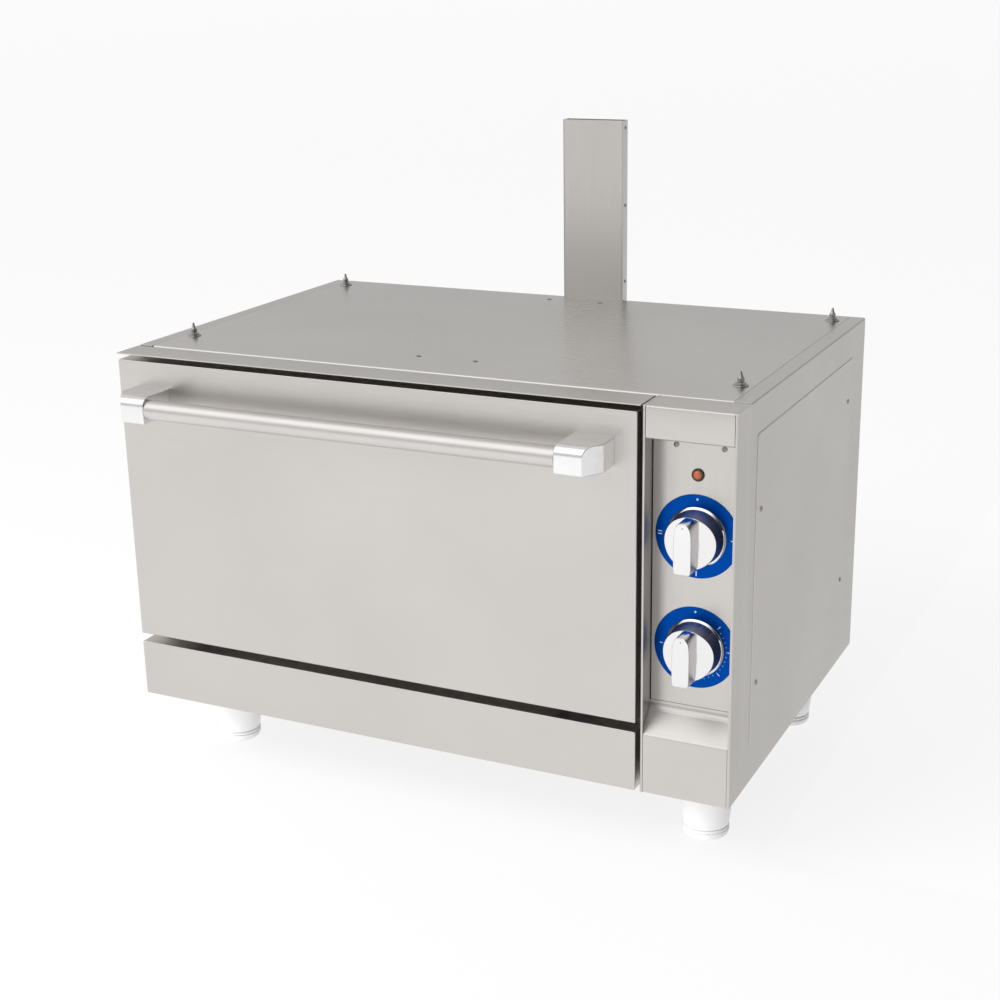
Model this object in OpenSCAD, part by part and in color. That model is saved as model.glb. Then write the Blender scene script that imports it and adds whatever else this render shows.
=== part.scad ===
// Single-deck electric oven module on four adjustable feet.
// X runs left to right, Y from the front to the back, Z up from the floor.

/* [Body] */
// Overall width of the body over both side covers
body_w = 800; // [700:10:1000]
// Depth of the body from the door face to the back panel
body_d = 525; // [480:5:700]
// Height of the body from its underside to the top plate
body_h = 456; // [420:2:600]
// Thickness of the casing sheet
sheet = 1.5; // [1:0.1:2]
// Thickness of the screwed-on side covers
cover_t = 1; // [0.8:0.1:1.5]
// Margin from a side cover's edge to the edge of its side panel
cover_margin = 24; // [18:1:60]
// Depth of the front layer that holds the door, plinth and console
front_d = 46; // [42:1:60]
// Width of the folded top flange of each side panel
flange_w = 20; // [15:1:30]

/* [Front] */
// Width of the control console at the right
console_w = 106.5; // [100:0.5:130]
// Height of the plinth panel under the door
plinth_h = 73; // [60:1:100]
// Gap between the plinth and the door
plinth_gap = 11; // [9:0.5:16]
// Gap between the door and the top rail
rail_gap = 9; // [6:0.5:14]
// Gap between the door and the console
side_gap = 5.5; // [4:0.5:8]
// How far the door's left edge stands inside the body's left side
door_inset = 2.5; // [1:0.5:6]
// Thickness of the door
door_t = 43; // [40:0.5:56]
// Thickness of the door skins
skin = 1.2; // [1:0.1:1.5]

/* [Handle] */
// Radius of the handle bar
bar_r = 12; // [9:0.5:15]
// Distance from the door face to the middle of the handle bar
bar_reach = 42; // [34:1:60]
// Distance from the top of the door down to the handle bar
bar_drop = 47; // [40:1:80]
// Clear length of the bar between its two brackets
bar_span = 536; // [400:2:560]
// Width of one handle bracket on the door
bracket_w = 48; // [36:1:60]
// Height of one handle bracket
bracket_h = 32; // [28:1:44]
// Depth of the bar's socket in a bracket
socket_d = 22; // [15:1:30]

/* [Hinge] */
// Distance from the door face back to the hinge axis
hinge_back = 13; // [12:0.5:16]
// Height of the hinge axis above the door's lower edge
hinge_up = 11; // [9:0.5:14]
// Distance from the door's middle to each hinge
hinge_x = 255; // [180:5:300]
// Radius of the hinge pins
pin_r = 4; // [3:0.25:5]
// Radial clearance of a running fit
run_clear = 0.05; // [0.02:0.01:0.1]
// Opening angle of the door
door_open = 90; // [80:1:95]

/* [Console] */
// Depth of the control panel behind the console's front edge
recess_d = 29; // [20:1:36]
// Height of the hood band above the controls
band_h = 38; // [30:1:50]
// Height of the ledge's back edge above the body's underside
ledge_back_h = 104; // [90:1:130]
// Height of the ledge's front edge above the body's underside
ledge_front_h = 72; // [50:1:85]
// Height of the selector knob's axis above the body's underside
selector_z = 305.5; // [280:0.5:330]
// Height of the thermostat knob's axis above the body's underside
thermostat_z = 175.5; // [160:0.5:190]
// Height of the indicator lamp above the body's underside
lamp_z = 375.5; // [365:0.5:400]
// Radius of the dial rings
dial_r = 48; // [36:0.5:49]
// Radius of a knob at its skirt
knob_r = 34; // [24:0.5:36]
// Radius of a knob at its front disc
knob_face_r = 29.5; // [20:0.5:32]
// Length of a knob's round body
knob_body_l = 25.5; // [18:0.5:30]
// How far a knob's grip stands in front of its round body
grip_l = 22; // [10:0.5:26]
// Width of a knob's grip
grip_w = 21; // [10:0.5:24]
// Radius of the control shafts
shaft_r = 3; // [2.5:0.25:4]

/* [Chamber] */
// Inner width of the oven chamber
chamber_w = 580; // [480:5:590]
// Inner height of the oven chamber
chamber_h = 290; // [260:2:296]
// Inner depth of the oven chamber
chamber_d = 400; // [350:5:420]
// Height of the chamber's floor above the body's underside
chamber_z = 112; // [110:1:120]
// Thickness of the chamber's steel lining
liner = 1; // [0.8:0.1:1.5]
// Thickness of the mineral wool round the chamber
wool = 38; // [25:1:40]
// Height of the sole plate above the chamber's floor
sole_z = 26; // [22:1:40]
// Radius of the heating elements
element_r = 4.25; // [3:0.25:5]
// Number of shelf levels
levels = 4; // [3:1:5]
// Distance between shelf levels
level_step = 52; // [40:1:52]

/* [Feet and top] */
// Height of the feet from the floor to the body
foot_h = 97; // [70:1:150]
// Distance from the body's side to the middle of a foot
foot_x = 65; // [50:1:90]
// Distance from the front to the middle of a front foot
foot_front = 113; // [85:1:140]
// Distance from the back to the middle of a back foot
foot_back = 68; // [50:1:90]
// Radius of a foot sleeve at its top
foot_r = 31.5; // [24:0.5:36]
// Travel of the adjustable feet
foot_travel = 30; // [10:1:35]
// Spacing of the locating pins across the top
pins_x = 728; // [600:2:960]
// Distance from the front to the front locating pins
pins_front = 114; // [90:1:140]
// Distance from the back to the back locating pins
pins_back = 33; // [25:1:60]
// Radius of a locating pin's shank
locator_r = 4; // [3:0.25:5]
// Height of a locating pin above the top plate
locator_h = 17; // [14:0.5:25]
// Height of the flue above the top plate
flue_h = 243; // [150:1:300]
// Width of the flue
flue_w = 88; // [60:1:120]
// Depth of the flue
flue_d = 18; // [14:0.5:30]
// Distance from the body's middle to the middle of the flue
flue_x = 16; // [0:1:40]
// Radius of the vent pipe between the chamber and the flue
vent_r = 20; // [12:0.5:26]

/* [Hidden] */
$fn = 64;

eps = 0.01;
gap = 0.3;
face_w = body_w / 2 - cover_t;
mid_y = (body_d + flue_d - bar_reach - bar_r) / 2;

// Front layer
console_left = face_w - console_w;
door_left = -body_w / 2 + door_inset;
door_right = console_left - side_gap;
door_mid = (door_left + door_right) / 2;
door_bottom = plinth_h + plinth_gap;
door_top = body_h - rail_gap;
bar_z = door_top - bar_drop;
bracket_x = (bar_span + bracket_w) / 2;
bracket_screw_z = 8;
rail_step = 1;
tray_h = 24;
wall_strip = 4;
band_back = 0.4;
fold_h = 14;

// Side covers
cover_front = front_d + cover_margin;
cover_rear = body_d - 2.4 * cover_margin;
cover_low = 47;
cover_high = body_h - 40;

// Door hinge
hinge_z = door_bottom + hinge_up;
arm_w = 16;
eye_r = pin_r + 3;
notch_w = 42;
leaf_half = 13;
notch_up = leaf_half + 1.5;
lug_t = 2.5;

// Controls
knob_x = console_left + console_w / 2 + 0.5;
dial_t = 0.8;
knob_back = recess_d - dial_t - gap;
knob_socket = 22;
bush_r = 5;
bush_out = 5;
nut_t = 3.5;
nut_r = bush_r + 4;
switch_w = 44;
switch_h = 50;
switch_l = 42;
thermostat_h = 40;
thermostat_l = 34;
shaft_in = 24;
lamp_body_r = 5;
lamp_flange = 2.2;

// Chamber
chamber_back = front_d + chamber_d;
chamber_left = door_mid - chamber_w / 2;
chamber_right = door_mid + chamber_w / 2;
chamber_top = chamber_z + chamber_h;
top_element_z = chamber_top - 14;
bottom_element_z = chamber_z + 12;
element_legs = [door_mid - 30, door_mid + 30];
wire_r = 3;
bar_wire_r = 1.5;
runner_r = 2.5;
rack_w = 12;
shelf_level = 1;
shelf_bars = 17;
bulb_r = 3;
bulb_l = 110;
bulb_y = front_d + 150;
bulb_z = chamber_top - 40;
tube_r = 1;
tube_y = recess_d + sheet + switch_l + 20;
tube_out_y = bulb_y + bulb_l - 8;

// Feet, flue and back
foot_back_y = body_d - foot_back;
pins_back_y = body_d - pins_back;
foot_pad_h = 13;
stem_r = 9;
pad_gap = 0.4;
sleeve_h = foot_h - foot_pad_h - pad_gap;
stem_l = sleeve_h - 16;
stud_r = 5;
vent_z = chamber_top - vent_r - 14;
flue_low = vent_z - vent_r - 18;
flue_top = body_h + flue_h;
flue_wall = 1.2;
gland_x = face_w - 56;
gland_z = 62;
gland_hole_r = 12.5;
gland_bore_r = 7;
gland_l = 16;
screw_r = 3.2;

// Moves a sub-part from the body's own axes to the frame on the floor
module in_frame() {
    translate([0, -mid_y, foot_h]) children();
}

// A block between two corners
module block(low, high) {
    translate(low) cube(high - low);
}

// A cylinder from a point, running along +Y
module rod_y(x, y, z, r, l) {
    translate([x, y, z]) rotate([-90, 0, 0]) cylinder(r = r, h = l);
}

// A cylinder from a point, running along +X
module rod_x(x, y, z, r, l) {
    translate([x, y, z]) rotate([0, 90, 0]) cylinder(r = r, h = l);
}

// ---------- casing ----------

module base_tray() {
    color("silver") in_frame() {
        difference() {
            union() {
                block([-face_w + sheet, front_d + sheet, 0], [face_w - sheet, body_d - sheet, sheet]);
                block([-face_w + sheet, front_d + sheet, 0], [face_w - sheet, front_d + 2 * sheet, tray_h]);
                block([-face_w + sheet, body_d - 2 * sheet, 0], [face_w - sheet, body_d - sheet, tray_h]);
            }
            for (x = [-1, 1], y = [foot_front, foot_back_y])
                translate([x * (body_w / 2 - foot_x), y, -1]) cylinder(r = stud_r + gap, h = sheet + 2);
        }
    }
}

// Folded side sheet with a top flange and a bottom flange turned inwards
module side_panel() {
    block([face_w - sheet, front_d, 0], [face_w, body_d, body_h]);
    block([face_w - flange_w, front_d, body_h - sheet], [face_w, body_d, body_h]);
    block([face_w - flange_w, front_d + 2 * sheet, sheet], [face_w, body_d - 2 * sheet, 2 * sheet]);
}

module side_panel_right() {
    color("silver") in_frame() side_panel();
}

module side_panel_left() {
    color("silver") in_frame() mirror([1, 0, 0]) side_panel();
}

module side_cover() {
    block([face_w, cover_front, cover_low], [face_w + cover_t, cover_rear, cover_high]);
}

module side_cover_right() {
    color("lightgray") in_frame() side_cover();
}

module side_cover_left() {
    color("lightgray") in_frame() mirror([1, 0, 0]) side_cover();
}

module top_plate() {
    lip_r = 3;
    half = face_w - flange_w - gap;
    color("silver") in_frame() {
        difference() {
            union() {
                block([-half, front_d + lip_r + 1, body_h - sheet], [half, body_d, body_h]);
                block([-half, front_d + 1, body_h - fold_h], [half, front_d + 1 + sheet, body_h - lip_r]);
                translate([-half, front_d + 1 + lip_r, body_h - lip_r]) intersection() {
                    rotate([0, 90, 0]) difference() {
                        cylinder(r = lip_r, h = 2 * half);
                        translate([0, 0, -1]) cylinder(r = lip_r - sheet, h = 2 * half + 2);
                    }
                    translate([0, -lip_r, 0]) cube([2 * half, lip_r, lip_r]);
                }
            }
            for (x = [-1, 1], y = [pins_front, pins_back_y])
                translate([x * pins_x / 2, y, body_h - sheet - 1])
                    cylinder(r = locator_r + gap, h = sheet + 2);
        }
    }
}

module back_panel() {
    color("silver") in_frame() {
        difference() {
            block([-face_w + sheet, body_d - sheet, 0], [face_w - sheet, body_d, body_h - sheet]);
            rod_y(flue_x, body_d - sheet - 1, vent_z, vent_r + gap, sheet + 2);
            rod_y(gland_x, body_d - sheet - 1, gland_z, gland_hole_r, sheet + 2);
        }
    }
}

module front_frame() {
    color("silver") in_frame() {
        difference() {
            block([-face_w + sheet, front_d, 0], [console_left, front_d + sheet, body_h - fold_h - 2]);
            block([chamber_left - liner, front_d - 1, chamber_z - liner],
                [chamber_right + liner, front_d + sheet + 1, chamber_top + liner]);
        }
    }
}

module top_rail() {
    color("silver") in_frame() {
        block([-face_w, 0, body_h - rail_step - sheet],
            [console_left - 1, front_d - gap, body_h - rail_step]);
        block([-face_w + flange_w + 2, front_d - gap - sheet, body_h - fold_h - 2],
            [console_left - 1, front_d - gap, body_h - rail_step]);
    }
}

module plinth_panel() {
    color("silver") in_frame() {
        block([door_left, 0, 0], [door_right, sheet, plinth_h]);
        block([door_left, 0, plinth_h - sheet], [door_right, front_d - gap, plinth_h]);
        block([door_left, 0, 0], [door_right, front_d - gap, sheet]);
        for (x = [door_left, door_right - sheet])
            block([x, 0, 0], [x + sheet, front_d - gap, plinth_h]);
    }
}

module partition() {
    color("lightsteelblue") in_frame() difference() {
        block([console_left, front_d + 2 * sheet, tray_h + gap],
            [console_left + sheet, body_d - 2 * sheet, body_h - sheet - gap]);
        rod_x(console_left - 1, tube_out_y, bulb_z, tube_r + 1.5, sheet + 2);
    }
}

// ---------- console ----------

module console_shell() {
    left = console_left;
    right = face_w;
    color("silver") in_frame() {
        block([left, 0, 0], [left + sheet, front_d - gap, body_h - sheet - gap]);
        block([right - sheet, 0, 0], [right, front_d - gap, body_h - sheet - gap]);
        block([left, 0, 0], [left + wall_strip, sheet, body_h - sheet - gap]);
        block([right - wall_strip, 0, 0], [right, sheet, body_h - sheet - gap]);
        block([left, 0, 0], [right, front_d - gap, sheet]);
    }
}

module console_band() {
    left = console_left + wall_strip + gap;
    right = face_w - wall_strip - gap;
    low = body_h - band_h;
    color("silver") in_frame() {
        block([console_left, 0, body_h - sheet], [face_w, front_d - gap, body_h]);
        block([left, band_back, low], [right, band_back + sheet, body_h]);
        block([left, band_back, low], [right, recess_d - gap, low + sheet]);
    }
}

module control_panel() {
    left = console_left + sheet;
    right = face_w - sheet;
    color("gainsboro") in_frame() {
        difference() {
            block([left, recess_d, ledge_back_h + gap], [right, recess_d + sheet, body_h - 2 * sheet - gap]);
            for (z = [selector_z, thermostat_z])
                rod_y(knob_x, recess_d - 1, z, bush_r + gap, sheet + 2);
            rod_y(knob_x, recess_d - 1, lamp_z, lamp_body_r + 0.1, sheet + 2);
        }
    }
}

// Sloping ledge folded down into the lower front panel
module console_ledge() {
    left = console_left + wall_strip + gap;
    right = face_w - wall_strip - gap;
    color("silver") in_frame() {
        translate([left, 0, 0]) rotate([90, 0, 90]) linear_extrude(right - left)
            polygon([
                [band_back, sheet + gap],
                [band_back + sheet, sheet + gap],
                [band_back + sheet, ledge_front_h - sheet],
                [recess_d + sheet, ledge_back_h - sheet],
                [recess_d + sheet, ledge_back_h],
                [recess_d, ledge_back_h],
                [band_back, ledge_front_h]
            ]);
    }
}

module dial_ring(z) {
    color([0, 0.27, 0.62]) in_frame() difference() {
        rod_y(knob_x, recess_d - dial_t, z, dial_r, dial_t);
        rod_y(knob_x, recess_d - dial_t - 1, z, nut_r + 2, dial_t + 2);
    }
}

module dial_ring_upper() {
    dial_ring(selector_z);
}

module dial_ring_lower() {
    dial_ring(thermostat_z);
}

// Turned knob: a skirted round body with a straight grip across its face
module knob(z) {
    grip_back = knob_back - knob_body_l + eps;
    color("gainsboro") in_frame() difference() {
        union() {
            translate([knob_x, knob_back, z]) rotate([90, 0, 0]) rotate_extrude()
                polygon([
                    [0, 0],
                    [knob_r, 0],
                    [knob_r, 2.5],
                    [knob_face_r + 1, 6],
                    [knob_face_r, knob_body_l],
                    [0, knob_body_l]
                ]);
            translate([knob_x, grip_back, z]) intersection() {
                rotate([90, 0, 0]) cylinder(r = knob_face_r, h = grip_l);
                translate([-grip_w / 2, -grip_l, -knob_r]) cube([grip_w, grip_l, 2 * knob_r]);
            }
        }
        rod_y(knob_x, knob_back - knob_socket, z, shaft_r, knob_socket + 1);
        rod_y(knob_x, recess_d - bush_out - 2, z, nut_r + 1, bush_out + 2);
    }
}

module knob_selector() {
    knob(selector_z);
}

module knob_thermostat() {
    knob(thermostat_z);
}

// Switch housing behind the panel, with a threaded bush and its nut in front
module control_body(z, w, h, l) {
    back = recess_d + sheet;
    difference() {
        union() {
            block([knob_x - w / 2, back, z - h / 2], [knob_x + w / 2, back + l, z + h / 2]);
            rod_y(knob_x, recess_d - bush_out, z, bush_r, sheet + bush_out + eps);
            rod_y(knob_x, recess_d - nut_t, z, nut_r, nut_t - gap);
        }
        rod_y(knob_x, recess_d - bush_out - 1, z, shaft_r + run_clear, shaft_in + bush_out + 3);
    }
}

module selector_switch() {
    color("dimgray") in_frame() {
        control_body(selector_z, switch_w, switch_h, switch_l);
        for (x = [-14, 0, 14], z = [-16, 16])
            block([knob_x + x - 3, recess_d + sheet + switch_l, selector_z + z - 0.4],
                [knob_x + x + 3, recess_d + sheet + switch_l + 9, selector_z + z + 0.4]);
    }
}

module thermostat() {
    back = recess_d + sheet + thermostat_l;
    color("tan") in_frame() {
        control_body(thermostat_z, switch_w, thermostat_h, thermostat_l);
        for (x = [-12, 12])
            block([knob_x + x - 3, back, thermostat_z - 10.4],
                [knob_x + x + 3, back + 9, thermostat_z - 9.6]);
    }
}

module control_shaft(z) {
    color("silver") in_frame()
        rod_y(knob_x, knob_back - knob_socket, z, shaft_r, knob_socket + shaft_in);
}

module selector_shaft() {
    control_shaft(selector_z);
}

module thermostat_shaft() {
    control_shaft(thermostat_z);
}

// Bulb clipped along the chamber's right wall, its capillary led out to the thermostat
module thermostat_bulb() {
    bulb_x = chamber_right - bulb_r - 3;
    start_y = recess_d + sheet + thermostat_l - eps;
    start_z = thermostat_z + 14;
    color("peru") in_frame() {
        rod_y(bulb_x, bulb_y, bulb_z, bulb_r, bulb_l);
        rod_x(bulb_x, tube_out_y, bulb_z, tube_r, knob_x - bulb_x);
        rod_y(knob_x, tube_y, bulb_z, tube_r, tube_out_y - tube_y);
        translate([knob_x, tube_y, start_z]) cylinder(r = tube_r, h = bulb_z - start_z);
        rod_y(knob_x, start_y, start_z, tube_r, tube_y - start_y);
        for (knee = [[tube_y, start_z], [tube_y, bulb_z], [tube_out_y, bulb_z]])
            translate([knob_x, knee[0], knee[1]]) sphere(r = tube_r + 0.1, $fn = 32);
    }
}

module lamp_body() {
    color("dimgray") in_frame() difference() {
        union() {
            rod_y(knob_x, recess_d - 2, lamp_z, lamp_body_r + lamp_flange, 2);
            rod_y(knob_x, recess_d - eps, lamp_z, lamp_body_r, 30);
            rod_y(knob_x, recess_d + sheet + gap, lamp_z, lamp_body_r + 2.5, 4);
        }
        rod_y(knob_x, recess_d - 3, lamp_z, lamp_body_r - 0.6, 8);
    }
}

module lamp_lens() {
    color("orange") in_frame() translate([knob_x, recess_d + 4, lamp_z]) rotate([90, 0, 0]) rotate_extrude() {
        difference() {
            union() {
                square([lamp_body_r - 0.7, 6.2]);
                intersection() {
                    translate([0, 2.8]) circle(r = lamp_body_r + 0.3);
                    square([lamp_body_r - 0.7, 9]);
                }
            }
            square([lamp_body_r - 2, 5]);
        }
    }
}

// ---------- chamber ----------

module oven_chamber() {
    color("slategray") in_frame() difference() {
        block([chamber_left - liner, front_d + gap, chamber_z - liner],
            [chamber_right + liner, chamber_back + liner, chamber_top + liner]);
        block([chamber_left, front_d - 1, chamber_z], [chamber_right, chamber_back, chamber_top]);
        rod_y(flue_x, chamber_back - 1, vent_z, vent_r, liner + 2);
        for (x = element_legs, z = [top_element_z, bottom_element_z])
            rod_y(x, chamber_back - 1, z, element_r + gap, liner + 2);
        rod_x(chamber_right - 1, tube_out_y, bulb_z, tube_r + 0.5, liner + 2);
    }
}

module chamber_wool() {
    out = wool + liner;
    color("khaki") in_frame() difference() {
        block([chamber_left - out, front_d + 2 * sheet + gap, chamber_z - out],
            [chamber_right + out, chamber_back + out, chamber_top + out]);
        block([chamber_left - liner, front_d, chamber_z - liner],
            [chamber_right + liner, chamber_back + liner, chamber_top + liner]);
        rod_y(flue_x, chamber_back, vent_z, vent_r + 1.2, out + 2);
        for (x = element_legs, z = [top_element_z, bottom_element_z])
            rod_y(x, chamber_back, z, element_r + gap, out + 2);
        rod_x(chamber_right, tube_out_y, bulb_z, tube_r + 0.5, out + 2);
    }
}

module sole_plate() {
    low = chamber_z + sole_z;
    color("dimgray") in_frame() {
        block([chamber_left + 2, front_d + 6, low], [chamber_right - 2, chamber_back - 6, low + 2]);
        for (x = [chamber_left + 2, chamber_right - 4])
            block([x, front_d + 6, chamber_z], [x + 2, chamber_back - 6, low + 2]);
    }
}

// Tubular element: one loop round the chamber, its two legs through the back wall
module element(z) {
    reach = chamber_w / 2 - 60;
    front_y = front_d + 50;
    back_y = chamber_back - 60;
    leg_l = chamber_back + wool + 14 - back_y;
    in_frame() {
        for (side = [-1, 1]) {
            leg_x = door_mid + side * 30;
            out_x = door_mid + side * reach;
            rod_y(leg_x, back_y, z, element_r, leg_l);
            rod_x(min(leg_x, out_x), back_y, z, element_r, reach - 30);
            rod_y(out_x, front_y, z, element_r, back_y - front_y);
            for (corner = [[leg_x, back_y], [out_x, back_y], [out_x, front_y]])
                translate([corner[0], corner[1], z]) sphere(r = element_r + 0.2);
        }
        rod_x(door_mid - reach, front_y, z, element_r, 2 * reach);
    }
}

module top_element() {
    color("darkslategray") element(top_element_z);
}

module bottom_element() {
    color("darkslategray") element(bottom_element_z);
}

// Chromed wire ladder: two uprights and a pair of runner wires for each level
module shelf_rack() {
    front_y = front_d + 24;
    back_y = chamber_back - 24;
    low = chamber_z + sole_z + 2;
    x = chamber_w / 2 - wire_r - 0.5;
    for (y = [front_y, back_y])
        translate([x, y, low]) cylinder(r = wire_r, h = levels * level_step + 10);
    for (level = [0 : levels - 1]) {
        z = low + 18 + level * level_step;
        for (inset = [2 * runner_r + 0.4, rack_w])
            rod_y(x - inset, front_y - 10, z, runner_r, back_y - front_y + 20);
        for (y = [front_y, back_y])
            rod_x(x - rack_w, y, z, runner_r, rack_w);
    }
}

module shelf_rack_right() {
    color("silver") in_frame() translate([door_mid, 0, 0]) shelf_rack();
}

module shelf_rack_left() {
    color("silver") in_frame() translate([door_mid, 0, 0]) mirror([1, 0, 0]) shelf_rack();
}

// Chromed wire shelf resting on one pair of runners
module oven_shelf() {
    low = chamber_z + sole_z + 2 + 18 + shelf_level * level_step + runner_r;
    half = chamber_w / 2 - wire_r - rack_w + 1.5;
    front_y = front_d + 22;
    back_y = chamber_back - 18;
    z = low + wire_r + gap;
    color("silver") in_frame() translate([door_mid, 0, 0]) {
        for (y = [front_y, back_y])
            rod_x(-half, y, z, wire_r, 2 * half);
        for (x = [-half, half])
            rod_y(x, front_y, z, wire_r, back_y - front_y);
        for (step = [1 : shelf_bars])
            rod_y(-half + step * 2 * half / (shelf_bars + 1), front_y, z, bar_wire_r, back_y - front_y);
        rod_x(-half, (front_y + back_y) / 2, z - bar_wire_r, bar_wire_r, 2 * half);
    }
}

module door_gasket() {
    edge = 12;
    low_y = door_t + gap;
    color("dimgray") in_frame() difference() {
        block([chamber_left - edge, low_y, hinge_z + leaf_half + 1],
            [chamber_right + edge, front_d, chamber_top + edge]);
        block([chamber_left - 3, low_y - 1, chamber_z + 2],
            [chamber_right + 3, front_d + 1, chamber_top + 3]);
    }
}

module vent_pipe() {
    color("silver") in_frame() difference() {
        rod_y(flue_x, chamber_back + gap + liner, vent_z, vent_r, body_d - chamber_back - gap - liner);
        rod_y(flue_x, chamber_back, vent_z, vent_r - 1, body_d - chamber_back + 2);
    }
}

// ---------- door ----------

module hinge_notches(y0, y1) {
    for (side = [-1, 1])
        block([door_mid + side * hinge_x - notch_w / 2, y0, door_bottom - 1],
            [door_mid + side * hinge_x + notch_w / 2, y1, hinge_z + notch_up]);
}

module door_outer_panel() {
    depth = door_t - sheet - gap;
    color("silver") in_frame() difference() {
        block([door_left, 0, door_bottom], [door_right, depth, door_top]);
        block([door_left + skin, skin, door_bottom + skin], [door_right - skin, depth + 1, door_top - skin]);
        hinge_notches(skin, depth + 1);
        for (side = [-1, 1], z = [-bracket_screw_z, bracket_screw_z])
            rod_y(door_mid + side * bracket_x, -1, bar_z + z, 2.6, skin + 2);
    }
}

module door_inner_panel() {
    color("gray") in_frame() difference() {
        union() {
            block([door_left + 1, door_t - sheet, door_bottom + 1], [door_right - 1, door_t, door_top - 1]);
            for (z = [door_bottom + skin + gap, door_top - skin - gap - sheet])
                block([door_left + skin + gap, door_t - 14, z],
                    [door_right - skin - gap, door_t - sheet + eps, z + sheet]);
            for (x = [door_left + skin + gap, door_right - skin - gap - sheet])
                block([x, door_t - 14, door_bottom + skin + gap],
                    [x + sheet, door_t - sheet + eps, door_top - skin - gap]);
        }
        hinge_notches(skin, door_t + 1);
    }
}

module door_wool() {
    side = skin + sheet + 2 * gap;
    color("khaki") in_frame()
        block([door_left + side, skin + lug_t + 2 * gap, hinge_z + 22 + gap],
            [door_right - side, door_t - sheet - gap, door_top - side]);
}

module handle_bar() {
    half = bar_span / 2 + socket_d - gap;
    color("gainsboro") in_frame() difference() {
        rod_x(door_mid - half, -bar_reach, bar_z, bar_r, 2 * half);
        rod_x(door_mid - half - 1, -bar_reach, bar_z, bar_r - 2, 2 * half + 2);
    }
}

// Cast end bracket: a block with a bevelled outer corner and a rounded front top edge
module handle_bracket() {
    front = bar_reach + bar_r;
    half = bracket_h / 2;
    round_r = 12;
    bevel = 15;
    difference() {
        intersection() {
            translate([0, 0, -half]) linear_extrude(bracket_h) polygon([
                [0, 0],
                [bracket_w, 0],
                [bracket_w, -(front - bevel * 1.6)],
                [bracket_w - bevel, -front],
                [0, -front]
            ]);
            rotate([90, 0, 90]) linear_extrude(bracket_w) union() {
                translate([-front, -half]) square([front, bracket_h - round_r]);
                translate([-front + round_r, -half]) square([front - round_r, bracket_h]);
                translate([-front + round_r, half - round_r]) circle(r = round_r);
            }
        }
        rod_x(-1, -bar_reach, 0, bar_r + run_clear, socket_d + 1);
        for (z = [-bracket_screw_z, bracket_screw_z])
            rod_y(bracket_w / 2, -12, z, 2, 13);
    }
}

module handle_bracket_right() {
    color("white") in_frame()
        translate([door_mid + bar_span / 2, 0, bar_z]) handle_bracket();
}

module handle_bracket_left() {
    color("white") in_frame()
        translate([door_mid - bar_span / 2, 0, bar_z]) mirror([1, 0, 0]) handle_bracket();
}

module handle_screws() {
    color("gray") in_frame() for (side = [-1, 1], z = [-bracket_screw_z, bracket_screw_z]) {
        rod_y(door_mid + side * bracket_x, -11, bar_z + z, 2, 11 + skin + eps);
        rod_y(door_mid + side * bracket_x, skin, bar_z + z, 4, 2.6);
    }
}

// ---------- hinges ----------

// Fixed leaf on the front frame with an eye for the pin
module hinge_bracket(side) {
    x = door_mid + side * hinge_x;
    color("lightslategray") in_frame() difference() {
        union() {
            block([x - 18, front_d - 3, hinge_z - leaf_half], [x + 18, front_d, hinge_z + leaf_half]);
            block([x - arm_w / 2, hinge_back, hinge_z - 5], [x + arm_w / 2, front_d - 2, hinge_z + 5]);
            rod_x(x - arm_w / 2, hinge_back, hinge_z, eye_r, arm_w);
        }
        rod_x(x - arm_w / 2 - 1, hinge_back, hinge_z, pin_r + run_clear, arm_w + 2);
    }
}

module hinge_bracket_left() {
    hinge_bracket(-1);
}

module hinge_bracket_right() {
    hinge_bracket(1);
}

// Pair of ears behind the door skin at each hinge
module hinge_lugs() {
    ear_t = 3;
    color("lightslategray") in_frame() for (side = [-1, 1]) {
        x = door_mid + side * hinge_x;
        difference() {
            union() {
                block([x - 19, skin, hinge_z - 8], [x + 19, skin + lug_t, hinge_z + 22]);
                for (ear = [-1, 1]) {
                    inner = x + ear * (arm_w / 2 + gap + ear_t / 2);
                    rod_x(inner - ear_t / 2, hinge_back, hinge_z, eye_r, ear_t);
                    block([inner - ear_t / 2, skin + lug_t - eps, hinge_z - eye_r],
                        [inner + ear_t / 2, hinge_back, hinge_z + eye_r]);
                }
            }
            rod_x(x - 19, hinge_back, hinge_z, pin_r, 38);
        }
    }
}

module hinge_pins() {
    color("gray") in_frame() for (side = [-1, 1])
        rod_x(door_mid + side * hinge_x - 14, hinge_back, hinge_z, pin_r, 28);
}

// ---------- feet ----------

// White moulded sleeve with a bore for the adjustable stem and a stud into the tray
module foot_sleeve() {
    translate([0, 0, -sleeve_h]) difference() {
        union() {
            rotate_extrude() polygon([
                [0, 0],
                [foot_r - 4, 0],
                [foot_r - 3, 2],
                [foot_r, sleeve_h * 0.55],
                [foot_r, sleeve_h],
                [0, sleeve_h]
            ]);
            cylinder(r = stud_r, h = sleeve_h + 8);
        }
        translate([0, 0, -1]) cylinder(r = stem_r + run_clear * 2, h = sleeve_h - 9);
    }
}

module foot_sleeves() {
    color("white") in_frame() for (x = [-1, 1], y = [foot_front, foot_back_y])
        translate([x * (body_w / 2 - foot_x), y, 0]) foot_sleeve();
}

// Adjustable pad and stem that screw out of the sleeve
module foot_pad(x, y) {
    pad_r = foot_r - 3.5;
    color("whitesmoke") in_frame() translate([x, y, -foot_h]) {
        rotate_extrude() polygon([
            [0, 0],
            [pad_r - 2, 0],
            [pad_r, 2],
            [pad_r, 8],
            [pad_r - 3.5, 8],
            [pad_r - 3.5, 10],
            [pad_r, 10],
            [pad_r, foot_pad_h],
            [0, foot_pad_h]
        ]);
        translate([0, 0, foot_pad_h - eps]) cylinder(r = stem_r, h = stem_l);
    }
}

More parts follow.
